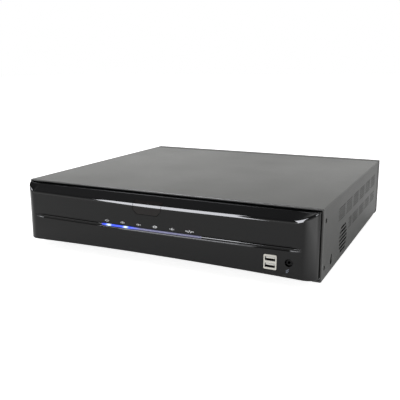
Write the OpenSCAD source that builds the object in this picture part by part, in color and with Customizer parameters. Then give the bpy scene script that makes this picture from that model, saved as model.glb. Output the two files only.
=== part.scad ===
// Video recorder in a low steel case with a bowed gloss-black front moulding.
// The origin is on the surface that it stands on, under the middle of the whole object.
// +X is the right-hand side seen from the front, +Y is the back and +Z is up.
// Every module works in case coordinates: y = 0 at the cover's front hem, z = 0 at its lower edge.

/* [Case] */
// Width over the cover
case_w = 430; // [428:1:440]
// Height of the cover, without the feet
case_h = 89; // [89:1:96]
// Depth from the cover's front hem to the rear panel
case_d = 378; // [374:1:384]
// Thickness of the cover's sheet steel
cover_t = 1; // [0.8:0.1:1]
// Thickness of the folded hem round the cover's mouth
hem_t = 2.4; // [2.2:0.1:2.6]
// Thickness of the chassis sheet steel
plate_t = 1.2; // [1:0.1:1.2]
// Height of the rubber feet below the cover
foot_h = 8; // [6:1:10]

/* [Front moulding] */
// How far the moulding stands out in front of the hem at its ends
bezel_d = 15; // [14:1:18]
// How much further it stands out in the middle
bezel_bow = 5; // [3:1:6]
// Radius of its corners in plan
bezel_corner_r = 18; // [14:1:20]
// Wall thickness of the moulding
bezel_wall = 2.5; // [2:0.1:2.6]
// Radius of the fillet between its face and the sloping top band
nose_r = 3.5; // [2.5:0.5:4]
// Length of the light bar in the groove
light_bar_w = 148; // [140:1:150]
// Distance between two status lamps
lamp_pitch = 24.6; // [20:0.2:25]

/* [Sockets] */
// Video inputs in one row
bnc_columns = 8; // [4:1:8]
// Distance between two sockets
socket_pitch = 17; // [16.5:0.1:17]
// How far the video sockets stand out behind the rear panel
rear_reach = 14; // [12:1:15]

/* [Fans] */
// Side of the square rear fan
rear_fan_side = 60; // [60:1:62]
// Side of the square side fan
side_fan_side = 45; // [44:1:45]
// Radius of a fan's shaft
shaft_r = 1; // [0.8:0.1:1.2]
// Radial clearance of a shaft or pin in its bearing
bearing_gap = 0.05; // [0.02:0.01:0.1]

/* [Hidden] */
$fn = 32;
eps = 0.01;

// Whole object
case_x = case_w / 2;
front_y = -(bezel_d + bezel_bow);
whole_d = case_d + rear_reach - front_y;
hem_y = -whole_d / 2 - front_y;

// Cover and chassis
cover_edge_r = 1.6;
hem_d = 3.6;
lip_w = 11;
panel_flange = 16.4;
seam = 0.6;
cover_d = case_d - panel_flange - seam;
tray_x = case_x - cover_t - 0.5;
floor_z = plate_t + plate_t;
wall_y = 4;
flange_h = 18;
corner_d = 40;
wall_h = 86.5;
panel_y = case_d - plate_t;

// Side openings of the cover: two rows of vent patches in six columns
vent_y = 78.8;
vent_pitch = 44.7;
vent_w = 37;
vent_rows = [[28.9, 17], [54.2, 17.5]];
vent_columns = 6;
ear_y = 12;
ear_z = [14.8, 72.6];
ear_hole_r = 3;
keyhole = [44.6, 12.8];
cover_screw_y = [28, case_d / 2, case_d - 30];
cover_screw_x = case_x - 7;

// Front moulding
bezel_x = case_x - hem_t - 0.2;
bezel_top = case_h - hem_t - 0.2;
bezel_bottom = 5.2;
arch = 4.2;
arch_half = 195;
arch_r = (arch_half * arch_half + arch * arch) / (2 * arch);
bow_r = (bezel_x * bezel_x + bezel_bow * bezel_bow) / (2 * bezel_bow);
nose_z = 74.8;
slope = atan2(bezel_top - nose_z, -front_y - 0.4);
bar_x = -5.3;
bar_z = 41.7;
bar_h = 2;
display_x = -8.3;
window_w = 42.4;
usb_x = 157.8;
usb_z = 23.1;
usb_board_z = 12.9;
jack_x = 180.2;
jack_z = 24.6;
boss_x = 120;
boss_z = [17, 60];
front_board_y = -9.4;
board_posts = [[-78, 50], [66, 50], [-78, 66], [66, 66]];

// Rear sockets
bnc_x = -192;
bnc_rows = [46, 66];
row_z = 25;
bnc_out = 2;
audio_count = 5;
video_board_y = case_d - 19;
port_z = 10.6;

// Main board and drives
board_z = 9;
board_t = 1.6;
board_top = board_z + board_t;
board_front = 200;
board_screw_at = [[-198, 207], [-70, 207], [44, 214], [-198, case_d - 32], [-70, 290], [44, 290],
    [44, case_d - 24]];
drive = [101.6, 147, 26.1];
drive_x = [-190, -80];
drive_y = 28;
drive_z = 9.6;
drive_hole = [[3.2, 30], [98.4, 30], [3.2, 105], [98.4, 105]];

// Fans, mains inlet and power supply
rear_fan_at = [90, 45];
side_fan_at = [108.7, 25.9];
rear_fan_t = 15;
side_fan_t = 10;
inlet_at = [172, 29];
rocker_at = [172, 62];
rocker_y = case_d - 1;
rocker_tilt = 9;
supply = [132, case_d - 174, 76, 140, 44];
foot_at = [170, 45, case_d - 50];

module at_case() translate([0, hem_y, foot_h]) children();
module along_y(y0, length) translate([0, y0 + length, 0]) rotate([90, 0, 0]) linear_extrude(length)
    children();
module along_x(x0, length) translate([x0, 0, 0]) rotate([90, 0, 90]) linear_extrude(length) children();
module both_sides() for (s = [0, 1]) mirror([s, 0, 0]) children();
module block(x, y, z) translate([x[0], y[0], z[0]]) cube([x[1] - x[0], y[1] - y[0], z[1] - z[0]]);
module rod_y(at, y, r) translate([at[0], y[0], at[1]]) rotate([-90, 0, 0]) cylinder(h = y[1] - y[0],
    r = r);

// Rectangle with round corners, centred on its point
module pad_2d(size, r) {
    square([size[0] - 2 * r, size[1]], center = true);
    square([size[0], size[1] - 2 * r], center = true);
    for (x = [-1, 1], y = [-1, 1]) translate([x * (size[0] / 2 - r), y * (size[1] / 2 - r)]) circle(r);
}

// A strip of even thickness along straight stretches, with mitred corners
function along(points, i) = let (run = points[i + 1] - points[i]) run / norm(run);
function strip_edge(points, d) = let (last = len(points) - 2) [for (i = [0 : last + 1]) let (
    both = along(points, max(i - 1, 0)) + along(points, min(i, last)),
    across = [-both[1], both[0]]) points[i] + across * 2 * d / (across * across)];
module strip_2d(points, t) {
    left = strip_edge(points, t / 2);
    right = strip_edge(points, -t / 2);
    polygon(concat(left, [for (i = [len(right) - 1 : -1 : 0]) right[i]]));
}

// ---- Cover and chassis ----

// The case seen from the front, inset all round, with round upper edges
module case_2d(inset) {
    r = max(cover_edge_r - inset, 0.3);
    x = case_x - inset;
    top = case_h - inset;
    translate([-x, inset]) square([2 * x, top - r - inset]);
    translate([r - x, inset]) square([2 * (x - r), top - inset]);
    for (s = [-1, 1]) translate([s * (x - r), top - r]) circle(r);
}

module vent_patch(y, z, w, h) {
    columns = round(w / 7.2);
    rows = 3;
    for (i = [0 : columns - 1], j = [0 : rows - 1])
        translate([y + (i + 0.5) * w / columns, z + (j + 0.5) * h / rows])
            square([w / columns - 1.8, h / rows - 1.8], center = true);
}

module side_vents(fan_side) {
    for (k = [0 : vent_columns - 1], row = vent_rows) {
        lower = row[0] < 40;
        half = lower && k == 1 && fan_side;
        hidden = lower && (fan_side ? k == 0 : true);
        if (!hidden)
            vent_patch(vent_y + k * vent_pitch + (half ? vent_w / 2 : 0), row[0],
                half ? vent_w / 2 : vent_w, row[1]);
    }
}

module fan_slots() {
    pitch = 5.3;
    r = 22.5;
    for (i = [-3 : 3]) {
        reach = sqrt(r * r - pow(abs(i) * pitch + 1.5, 2));
        translate([side_fan_at[0], side_fan_at[1] + i * pitch]) square([2 * reach, 3], center = true);
    }
}

// Keyhole: a round hole for a stud's head, with a narrower hole above it
module keyhole_2d() {
    translate(keyhole) circle(4);
    translate(keyhole + [1.8, 6.8]) circle(2.6);
    translate(keyhole + [-0.8, 0]) square([4.8, 6.8]);
}

module top_cover() at_case() color([0.25, 0.25, 0.24]) difference() {
    union() {
        along_y(0, cover_d) difference() {
            case_2d(0);
            case_2d(cover_t);
        }
        along_y(0, hem_d) difference() {
            case_2d(cover_t);
            case_2d(hem_t);
            translate([-case_x, 0]) square([case_w, hem_t + 1]);
        }
    }
    block([lip_w - case_x, case_x - lip_w], [-1, case_d], [-1, cover_t + 1]);
    along_x(case_x - 5, 10) {
        side_vents(true);
        fan_slots();
    }
    along_x(-case_x - 5, 10) side_vents(false);
    both_sides() along_x(case_x - 5, 10) {
        for (z = ear_z) translate([ear_y, z]) circle(ear_hole_r);
        keyhole_2d();
    }
    for (s = [-1, 1], y = cover_screw_y) translate([s * cover_screw_x, y, -1]) cylinder(h = 3, r = 1.7);
}

module tray_walls() {
    block([-tray_x, tray_x], [wall_y, panel_y], [plate_t, floor_z]);
    block([-tray_x, tray_x], [wall_y, wall_y + plate_t], [plate_t, wall_h]);
    block([-tray_x, tray_x], [wall_y, wall_y + 10], [wall_h - plate_t, wall_h]);
    both_sides() {
        block([tray_x - plate_t, tray_x], [wall_y, cover_d - 1], [plate_t, flange_h]);
        block([tray_x - plate_t, tray_x], [wall_y, corner_d], [plate_t, wall_h]);
    }
    block([tray_x - plate_t, tray_x], [side_fan_at[0] - 26, side_fan_at[0] + 26], [plate_t, 51]);
    block([152, 190], [wall_y, 44], [usb_board_z - plate_t, usb_board_z]);
}

module chassis_tray() at_case() color([0.72, 0.73, 0.74]) difference() {
    tray_walls();
    block([22, 54], [wall_y - 1, wall_y + 3], [34, 56]);
    block([146, 190], [wall_y - 1, wall_y + plate_t + eps], [usb_board_z, 35]);
    along_x(tray_x - 3, 5) translate(side_fan_at) circle(21.5);
    for (s = [-1, 1]) {
        for (z = ear_z) translate([s * tray_x, ear_y, z]) rotate([0, 90, 0]) cylinder(h = 6,
            r = 2.55, center = true);
        translate([s * tray_x, keyhole[0] + 1, keyhole[1] + 3]) rotate([0, 90, 0]) cylinder(h = 6,
            r = 8, center = true);
        for (y = cover_screw_y) translate([s * cover_screw_x, y, 0]) cylinder(h = 4, r = 1.3);
        for (y = [foot_at[1], foot_at[2]]) translate([s * foot_at[0], y, 0]) cylinder(h = 4, r = 1.55);
        for (z = boss_z) rod_y([s * boss_x, z], [wall_y - 1, wall_y + 3], 1.7);
    }
    for (y = [-18, 18], z = [-18, 18]) translate([tray_x - 3, side_fan_at[0] + y, side_fan_at[1] + z])
        rotate([0, 90, 0]) cylinder(h = 5, r = 1.25);
}

// The rear panel is a shallow pan whose flange closes the cover's rear edge
module rear_panel() at_case() color([0.1, 0.1, 0.1]) difference() {
    union() {
        along_y(panel_y, plate_t) case_2d(0);
        along_y(case_d - panel_flange, panel_flange - plate_t) difference() {
            case_2d(0);
            case_2d(plate_t);
        }
    }
    along_y(panel_y - 1, 4) {
        for (i = [0 : bnc_columns - 1], z = bnc_rows) translate([bnc_x + i * socket_pitch, z])
            circle(5.05);
        for (i = [0 : bnc_columns - 1]) if (i < audio_count || i >= bnc_columns - bnc_out)
            translate([bnc_x + i * socket_pitch, row_z]) circle(5.05);
        translate([-42, port_z + 6.2]) square([20.6, 11], center = true);
        for (s = [-1, 1]) translate([-42 + s * 12.5, port_z + 6.2]) circle(1.7);
        translate([-14, port_z + 3.2]) square([15.6, 6.6], center = true);
        translate([6, port_z + 6.8]) square([16.6, 13.8], center = true);
        translate([33, port_z + 5]) square([29, 10.4], center = true);
        translate(rear_fan_at) circle(27.5);
        for (x = [-25, 25], y = [-25, 25]) translate(rear_fan_at + [x, y]) circle(1.7);
        translate(inlet_at) pad_2d([28, 21], 2);
        for (s = [-1, 1]) translate(inlet_at + [s * 20, 0]) circle(1.7);
        translate(rocker_at) square([19.2, 13.2], center = true);
        for (i = [0 : 8], j = [0 : 4]) translate([-46 + i * 11, 40 + j * 9]) square([7, 3],
            center = true);
    }
}

module rack_nuts() at_case() color("silver") for (s = [-1, 1], z = ear_z)
    translate([s * tray_x, ear_y, z]) rotate([0, -90 * s, 0]) difference() {
        union() {
            cylinder(h = plate_t, r = 2.5);
            translate([0, 0, plate_t]) cylinder(h = 3.6, r = 3.9);
        }
        translate([0, 0, -1]) cylinder(h = 8, r = 1.65);
    }

module pan_screw(r, shank, head_r, head_h) {
    cylinder(h = shank, r = r);
    translate([0, 0, -head_h]) difference() {
        cylinder(h = head_h, r = head_r);
        translate([0, 0, -eps]) {
            cube([head_r * 1.1, 0.6, head_h], center = true);
            cube([0.6, head_r * 1.1, head_h], center = true);
        }
    }
}

module cover_screws() at_case() color("silver") for (s = [-1, 1], y = cover_screw_y)
    translate([s * cover_screw_x, y, 0]) pan_screw(1.25, 5, 2.8, 1.6);

module bezel_screws() at_case() color("silver") for (s = [-1, 1], z = boss_z)
    translate([s * boss_x, wall_y + plate_t, z]) rotate([90, 0, 0]) pan_screw(1.2, 8, 2.8, 1.8);

module rubber_feet() at_case() color([0.06, 0.06, 0.06]) for (s = [-1, 1], y = [foot_at[1], foot_at[2]])
    translate([s * foot_at[0], y, -foot_h]) difference() {
        union() {
            cylinder(h = 1, r1 = 10, r2 = 10.8);
            translate([0, 0, 1]) cylinder(h = foot_h + plate_t - 1, r1 = 10.8, r2 = 12);
        }
        translate([0, 0, -1]) cylinder(h = 5, r = 4.2);
        cylinder(h = 20, r = 1.8);
    }

module foot_screws() at_case() color("silver") for (s = [-1, 1], y = [foot_at[1], foot_at[2]])
    translate([s * foot_at[0], y, 4 - foot_h]) pan_screw(1.5, 6.2, 3.4, 2);

// ---- Front moulding ----

// Points of the moulding's section from the groove's upper lip to the hem: [depth, height]
function nose_points(inset) = let (
    t = nose_r * tan((90 - slope) / 2),
    r = nose_r - inset,
    centre = [nose_r, nose_z - t])
    concat([[inset, bar_z + 3.3]],
        [for (a = [0 : 0.2 : 1]) let (angle = 180 - a * (90 - slope)) centre + r * [cos(angle),
            sin(angle)]],
        [[-front_y - 0.4 + inset * sin(slope), bezel_top - inset * cos(slope)]]);

// Outline of the moulding's section: foot, lower face, groove with its ledge, face, nose and skirt
function outer_section() = concat(
    [[wall_y - front_y + 1, bezel_bottom], [4, bezel_bottom]],
    [for (a = [30 : 30 : 90]) [4 - 4 * sin(a), bezel_bottom + 4 - 4 * cos(a)]],
    [for (p = [[0, -3.6], [0.5, -3.2], [2.6, -3], [2.6, -1.45], [1, -1.05], [1, 1.05],
        [2.4, 1.4], [2.4, 2.9], [0.4, 2.9]]) [p[0], bar_z + p[1]]],
    nose_points(0),
    [[wall_y - front_y + 1, bezel_top]]);

function inner_section() = concat(
    [[wall_y - front_y + 2, bezel_bottom + 6.4], [bezel_wall, bezel_bottom + 6.4], [bezel_wall,
        bar_z - 5.8]],
    [[bezel_wall + 2.4, bar_z - 3.8], [bezel_wall + 2.4, bar_z + 4.6], [bezel_wall, bar_z + 6]],
    [for (i = [1 : len(nose_points(bezel_wall)) - 1]) nose_points(bezel_wall)[i]],
    [[wall_y - front_y + 2, bezel_top - bezel_wall]]);

// A section swept along the shallow bow of the front
module bowed(section) {
    sweep = 2 * asin((bezel_x + 2) / bow_r);
    translate([0, front_y + bow_r, 0]) rotate([0, 0, -90 - sweep / 2])
        rotate_extrude(angle = sweep, $fn = ceil(24 * 360 / sweep))
            polygon([for (p = section) [bow_r - p[0], p[1]]]);
}

// Plan of the moulding with round corners, inset all round
module bezel_plan(inset) {
    x = bezel_x - bezel_corner_r;
    y = front_y + x * x / (2 * bow_r) + bezel_corner_r;
    intersection() {
        translate([-case_x, front_y - 2]) square([case_w, wall_y - front_y + 2]);
        union() {
            translate([-x, front_y - 2]) square([2 * x, wall_y - front_y + 2]);
            translate([inset - bezel_x, y]) square([2 * (bezel_x - inset), wall_y - y]);
            for (s = [-1, 1]) translate([s * x, y]) circle(bezel_corner_r - inset, $fn = 64);
        }
    }
}

module bezel_form(section, inset) intersection() {
    bowed(section);
    translate([0, 0, -1]) linear_extrude(case_h + 2) bezel_plan(inset);
}

// Window outline over the nose: wider at the top, gap all round
module window_form(gap) {
    x = window_w / 2 - gap;
    along_y(front_y - 1, 30) translate([display_x, 0])
        polygon([[-x, nose_z + 4], [x, nose_z + 4], [x, nose_z - 7], [x - 6, nose_z - 13 + gap],
            [6 - x, nose_z - 13 + gap], [-x, nose_z - 7]]);
}

module bezel_post(at, y, w) translate([at[0] - w / 2, y[0], at[1] - w / 2]) cube([w, y[1] - y[0], w]);

module front_bezel() at_case() color([0.03, 0.03, 0.03]) difference() {
    union() {
        difference() {
            bezel_form(outer_section(), 0);
            bezel_form(inner_section(), bezel_wall);
        }
        for (s = [-1, 1], z = boss_z) bezel_post([s * boss_x, z], [front_y + 3, wall_y - 0.1], 6.4);
        for (p = board_posts) bezel_post(p, [front_y + 1.6, front_board_y], 4);
    }
    for (s = [-1, 1], z = boss_z) rod_y([s * boss_x, z], [wall_y - 10, wall_y + 2], 1.25);
    block([bar_x - light_bar_w / 2 - 0.1, bar_x + light_bar_w / 2 + 0.1], [front_y - 1, front_y + 9],
        [bar_z - bar_h / 2 - 0.1, bar_z + bar_h / 2 + 0.1]);
    window_form(0);
    along_y(front_y - 1, 12) translate([usb_x, usb_z]) pad_2d([16.6, 18.6], 2);
    rod_y([jack_x, jack_z], [front_y - 1, -8], 4.6);
    along_y(front_y - 1, 40) polygon(concat([[bezel_x, 0], [-bezel_x, 0]],
        [for (i = [-8 : 8]) let (x = i * arch_half / 8) [x,
            bezel_bottom + arch - x * x / (2 * arch_r)]]));
}

module light_bar() at_case() color([0.2, 0.35, 1]) intersection() {
    bowed([[0.7, bar_z - bar_h / 2], [6, bar_z - bar_h / 2], [6, bar_z + bar_h / 2], [0.7,
        bar_z + bar_h / 2]]);
    block([bar_x - light_bar_w / 2, bar_x + light_bar_w / 2], [front_y - 1, 0], [0, 60]);
}

module ir_window() at_case() color([0.2, 0.13, 0.13]) intersection() {
    bowed(concat(nose_points(0.1), [for (i = [6 : -1 : 0]) nose_points(1.9)[i]]));
    window_form(0.2);
}

module front_board() at_case() color([0.05, 0.3, 0.15]) difference() {
    block([-82, 70], [front_board_y, front_board_y + 1.6], [30, 70]);
    for (p = board_posts) rod_y(p, [front_board_y - 1, front_board_y + 3], 1.2);
}

module status_lamps() at_case() color([0.6, 0.75, 1]) for (i = [0 : 5])
    translate([display_x + (i - 2.5) * lamp_pitch, front_board_y - 1.7, bar_z]) cube([3.2, 3.4,
        2.8], center = true);

module ir_receiver() at_case() color([0.1, 0.08, 0.1]) {
    block([display_x - 3.2, display_x + 3.2], [front_board_y - 2.4, front_board_y], [61, 68.5]);
    translate([display_x, front_board_y - 2.4, 65]) sphere(2);
}

module usb_port_2d() for (s = [-1, 1]) translate([0, s * 4.1]) square([12.8, 5.4], center = true);

module usb_ports() at_case() color([0.85, 0.84, 0.8]) translate([usb_x, 0, usb_z]) difference() {
    union() {
        along_y(-17.4, 19.4) pad_2d([14.6, 16.6], 0.8);
        along_y(-17.6, 1) pad_2d([16, 18], 1.6);
    }
    along_y(-20, 20) usb_port_2d();
}

module usb_tongues() at_case() color("white") translate([usb_x, 0, usb_z]) for (s = [-1, 1])
    along_y(-16.5, 16.5) translate([0, s * 4.1 + 1.1]) square([11.4, 1.9], center = true);

module usb_board() at_case() color([0.05, 0.3, 0.15]) block([147, 190], [-13, 46], [usb_board_z,
    usb_board_z + 1.6]);

module front_jack() at_case() color([0.05, 0.05, 0.05]) difference() {
    union() {
        block([jack_x - 5, jack_x + 5], [-10, 4], [usb_board_z + 1.6, jack_z + 5.3]);
        rod_y([jack_x, jack_z], [-14, -10], 3.4);
    }
    rod_y([jack_x, jack_z], [-15, 2], 1.8);
}

// ---- Main board ----

module main_board() at_case() color([0.05, 0.28, 0.14]) difference() {
    union() {
        block([-205, 50], [board_front, case_d - 24], [board_z, board_top]);
        block([-60, 50], [case_d - 25, panel_y - 0.4], [board_z, board_top]);
    }
    for (p = board_screw_at) translate([p[0], p[1], board_z - 1]) cylinder(h = 4, r = 1.7);
}

module board_standoffs() at_case() color([0.8, 0.65, 0.3]) for (p = board_screw_at)
    translate([p[0], p[1], floor_z]) difference() {
        cylinder(h = board_z - floor_z, r = 3, $fn = 6);
        translate([0, 0, 1]) cylinder(h = 10, r = 1.55);
    }

module board_screws() at_case() color("silver") for (p = board_screw_at)
    translate([p[0], p[1], board_top]) rotate([180, 0, 0]) pan_screw(1.5, 5.5, 2.8, 1.8);

module video_processor() at_case() color([0.12, 0.12, 0.12])
    block([-118, -91], [262, 289], [board_top, board_top + 2.4]);

module heat_sink() at_case() color([0.75, 0.76, 0.78]) translate([-134.5, 245.5, board_top + 2.4]) {
    cube([60, 60, 3]);
    for (i = [0 : 11]) translate([i * 58.8 / 11, 0, 2]) cube([1.2, 60, 18]);
}

module memory_chips() at_case() color([0.1, 0.1, 0.1]) for (i = [0 : 3])
    translate([-60 + i * 16, 262, board_top]) cube([9, 13, 1.2]);

module support_chips() at_case() color([0.1, 0.1, 0.1]) {
    for (i = [0 : 3]) translate([-190 + i * 20, 312, board_top]) cube([14, 14, 1.6]);
    for (i = [0 : 1]) translate([-30 + i * 34, 308, board_top]) cube([16, 16, 1.6]);
}

module capacitors() at_case() color([0.15, 0.15, 0.25]) for (i = [0 : 6])
    translate([-190 + i * 14, 224, board_top]) cylinder(h = 11, r = 4);

module coin_cell() at_case() color("silver") translate([20, 250, board_top + 1.5]) cylinder(h = 3.2,
    r = 10);

module cell_holder() at_case() color([0.08, 0.08, 0.08]) translate([20, 250, board_top]) difference() {
    cylinder(h = 4, r = 12);
    translate([0, 0, 1.4]) cylinder(h = 4, r = 10.2);
    translate([0, -20, 1.4]) cube([20, 40, 4]);
}

module board_headers() at_case() color([0.85, 0.83, 0.75]) {
    for (x = drive_x, dx = [48, 68])
        block([x + dx - 8, x + dx + 8], [board_front + 2, board_front + 8], [board_top, 19]);
    block([26, 49], [board_front + 2, board_front + 8], [board_top, 18]);
    block([34, 49], [222, 262], [board_top, 21]);
    block([-204, -62], [case_d - 28, video_board_y - 1.6], [board_top, 16]);
}

module video_board() at_case() color([0.05, 0.28, 0.14]) block([-204, -62], [video_board_y - 1.6,
    video_board_y], [11, 76]);

// ---- Rear sockets ----

module at_bnc() {
    for (i = [0 : bnc_columns - 1], z = bnc_rows) translate([bnc_x + i * socket_pitch, 0, z]) children();
    for (i = [bnc_columns - bnc_out : bnc_columns - 1]) translate([bnc_x + i * socket_pitch, 0,
        row_z]) children();
}

module at_audio() for (i = [0 : audio_count - 1]) translate([bnc_x + i * socket_pitch, 0, row_z])
    children();

module bnc_shells() at_case() color([0.8, 0.8, 0.8]) at_bnc() difference() {
    union() {
        rod_y([0, 0], [video_board_y, panel_y], 6);
        rod_y([0, 0], [panel_y - 1, case_d + rear_reach], 4.8);
        rod_y([0, 0], [case_d, case_d + 2.2], 6.6);
        translate([0, case_d + 10, 0]) cylinder(h = 11.4, r = 1, center = true);
    }
    rod_y([0, 0], [case_d + 3, case_d + rear_reach + 1], 4.05);
}

module bnc_insulators() at_case() color("white") at_bnc() difference() {
    rod_y([0, 0], [case_d + 3, case_d + 11], 2.6);
    rod_y([0, 0], [case_d + 3.5, case_d + 12], 0.8);
}

module bnc_pins() at_case() color([0.85, 0.7, 0.3]) at_bnc() rod_y([0, 0], [case_d + 3.5,
    case_d + 12], 0.7);

module audio_jacks() at_case() color([0.8, 0.8, 0.8]) at_audio() difference() {
    union() {
        rod_y([0, 0], [video_board_y, panel_y], 5.6);
        rod_y([0, 0], [panel_y - 1, case_d + 9], 4.15);
        rod_y([0, 0], [case_d, case_d + 1.2], 6);
    }
    rod_y([0, 0], [case_d + 1, case_d + 10], 3.3);
}

module audio_inserts() at_case() color([0.85, 0.1, 0.1]) at_audio() difference() {
    rod_y([0, 0], [case_d + 1, case_d + 8.6], 3.25);
    rod_y([0, 0], [case_d + 2, case_d + 10], 1.65);
}

// D-shaped outline of the monitor socket, wider at the top
module dsub_2d(inset) polygon([[-8.6 + inset, 4.1 - inset], [8.6 - inset, 4.1 - inset],
    [7.2 - inset, inset - 4.1], [inset - 7.2, inset - 4.1]]);

module vga_port() at_case() color([0.78, 0.78, 0.78]) translate([-42, 0, port_z + 6.2]) difference() {
    union() {
        along_y(case_d - 20, 18) square([20, 12.2], center = true);
        along_y(panel_y - 0.8, 0.7) square([30.8, 12.4], center = true);
        along_y(panel_y - 1, 7) dsub_2d(0);
        for (s = [-1, 1]) translate([s * 12.5, panel_y - 0.5, 0]) rotate([-90, 0, 0]) {
            cylinder(h = 1.9, r = 1.6);
            translate([0, 0, 1.7]) cylinder(h = 4.4, r = 2.7, $fn = 6);
        }
    }
    along_y(panel_y, 8) dsub_2d(0.5);
    for (s = [-1, 1]) rod_y([s * 12.5, 0], [panel_y, case_d + 8], 1.2);
}

module vga_insert() at_case() color([0.1, 0.15, 0.5]) translate([-42, 0, port_z + 6.2]) difference() {
    along_y(panel_y, 5.4) dsub_2d(0.55);
    for (j = [-1 : 1], i = [-2 : 2]) rod_y([i * 2.3 + j * 0.5, j * 2], [panel_y + 1, case_d + 8], 0.45);
}

module hdmi_port() at_case() color([0.78, 0.78, 0.78]) translate([-14, 0, port_z + 3.1]) {
    difference() {
        along_y(case_d - 14, 14.6) pad_2d([15, 6], 0.8);
        along_y(case_d - 10, 20) pad_2d([14, 4.6], 0.8);
    }
    along_y(case_d - 11, 10) square([10.8, 1.2], center = true);
}

module lan_port() at_case() color([0.75, 0.75, 0.76]) translate([6, 0, port_z + 6.7]) {
    difference() {
        along_y(case_d - 21, 21.6) square([16, 13.4], center = true);
        along_y(case_d - 13, 20) {
            translate([0, 0.8]) square([11.8, 7.4], center = true);
            translate([0, -4]) square([6, 3.4], center = true);
        }
    }
    for (i = [-3.5 : 3.5]) translate([i * 1.02, 0, 0]) along_y(case_d - 14, 9) translate([0, 4])
        square([0.5, 1], center = true);
}

module terminal_block() at_case() color([0.1, 0.5, 0.2]) translate([33, 0, port_z]) difference() {
    union() {
        along_y(case_d - 14, 18) translate([0, 5]) square([28.4, 9.8], center = true);
        along_y(case_d + 3, 4) translate([0, 4.6]) square([28, 9], center = true);
    }
    for (i = [0 : 7]) translate([(i - 3.5) * 3.5, 0, 0]) {
        along_y(case_d + 1, 8) translate([0, 3]) square([2.4, 2.6], center = true);
        translate([0, case_d + 4.6, 5]) cylinder(h = 6, r = 1.1);
    }
}

// ---- Mains inlet and switch ----

module mains_inlet() at_case() color([0.05, 0.05, 0.05]) translate([inlet_at[0], 0, inlet_at[1]])
    difference() {
    union() {
        along_y(case_d, 2.4) pad_2d([49, 22.6], 3);
        along_y(case_d - 25, 25) pad_2d([27.4, 20.4], 2);
    }
    along_y(case_d - 15, 20) polygon([[-12, -8], [12, -8], [12, 3], [7.4, 8], [-7.4, 8], [-12, 3]]);
    for (s = [-1, 1]) rod_y([s * 20, 0], [case_d - 1, case_d + 4], 1.7);
}

module inlet_pins() at_case() color([0.8, 0.8, 0.8]) translate([inlet_at[0], 0, inlet_at[1]]) {
    along_y(case_d - 29, 25) for (x = [-7, 0, 7]) translate([x, x == 0 ? 2 : -2]) square([2, 4],
        center = true);
    for (s = [-1, 1]) translate([s * 20, case_d + 2.4, 0]) rotate([90, 0, 0]) pan_screw(1.5, 8, 3, 1.8);
}

module switch_frame() at_case() color([0.06, 0.06, 0.06]) translate([rocker_at[0], 0, rocker_at[1]])
    difference() {
    union() {
        along_y(case_d, 1.6) pad_2d([21.4, 15.2], 1);
        along_y(case_d - 14, 14) square([19, 13], center = true);
    }
    along_y(case_d - 12, 20) square([16.8, 11], center = true);
    translate([0, rocker_y, 0]) cylinder(h = 12.4, r = 1.2 + bearing_gap, center = true);
}

// The rocker rests with one half pressed in, and turns through twice its tilt
module power_rocker() at_case() color([0.08, 0.08, 0.08])
    translate([rocker_at[0], rocker_y, rocker_at[1]]) rotate([0, 0, rocker_tilt]) {
        rise = 7.4 * tan(rocker_tilt);
        linear_extrude(10.2, center = true)
            polygon([[-7.4, 1.8 + rise], [0, 1.8], [7.4, 1.8 + rise], [6.8, -3], [0, -4.6], [-6.8, -3]]);
        cylinder(h = 12.2, r = 1.2, center = true);
    }

// ---- Fans ----
// A fan stands on z = 0 with its struts, and its rotor turns about +Z.

module fan_frame(side, t, bore_r, hub_r, spacing) difference() {
    union() {
        difference() {
            linear_extrude(t) pad_2d([side - 0.2, side - 0.2], 2.5);
            translate([0, 0, -1]) cylinder(h = t + 2, r = bore_r, $fn = 64);
        }
        for (a = [45 : 90 : 315]) rotate(a) translate([hub_r - 2, -1, 0]) cube([bore_r - hub_r + 3,
            2, 1.8]);
        cylinder(h = 1.8, r = hub_r);
        cylinder(h = t - 3.6, r = hub_r - 2.4);
    }
    translate([0, 0, 1]) cylinder(h = t, r = shaft_r + bearing_gap);
    for (x = [-1, 1], y = [-1, 1]) translate([x * spacing / 2, y * spacing / 2, -1])
        cylinder(h = t + 2, r = 1.8);
}

module fan_rotor(t, bore_r, hub_r, blades) {
    blade_t = 1.2;
    blade_h = t - 4.4;
    pitch = 40;
    difference() {
        translate([0, 0, 2.4]) cylinder(h = t - 3, r = hub_r);
        translate([0, 0, 1]) cylinder(h = t - 3.2, r = hub_r - 1.4);
    }
    translate([0, 0, 1.4]) cylinder(h = t - 3, r = shaft_r);
    intersection() {
        translate([0, 0, 2.6]) cylinder(h = t - 3.4, r = bore_r - 0.8, $fn = 64);
        for (i = [0 : blades - 1]) rotate(i * 360 / blades) translate([hub_r - 0.7, 0, t / 2 + 0.7])
            rotate([pitch, 0, 0])
            translate([0, -blade_t / 2, -blade_h / 2 / cos(pitch) - 1]) cube([bore_r, blade_t,
                blade_h / cos(pitch) + 2]);
    }
}

module at_rear_fan() translate([rear_fan_at[0], panel_y - rear_fan_t - 0.1, rear_fan_at[1]])
    rotate([-90, 0, 0]) children();
module at_side_fan() translate([tray_x - plate_t - side_fan_t - 0.1, side_fan_at[0], side_fan_at[1]])
    rotate([0, 90, 0]) children();

module rear_fan_frame() at_case() color([0.08, 0.08, 0.08]) at_rear_fan() fan_frame(rear_fan_side,
    rear_fan_t, 28.5, 12, 50);
module rear_fan_rotor() at_case() color([0.1, 0.1, 0.1]) at_rear_fan() fan_rotor(rear_fan_t, 28.5, 12, 7);
module side_fan_frame() at_case() color([0.08, 0.08, 0.08]) at_side_fan() fan_frame(side_fan_side,
    side_fan_t, 21.5, 9, 36);
module side_fan_rotor() at_case() color([0.1, 0.1, 0.1]) at_side_fan() fan_rotor(side_fan_t, 21.5, 9, 7);

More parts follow.
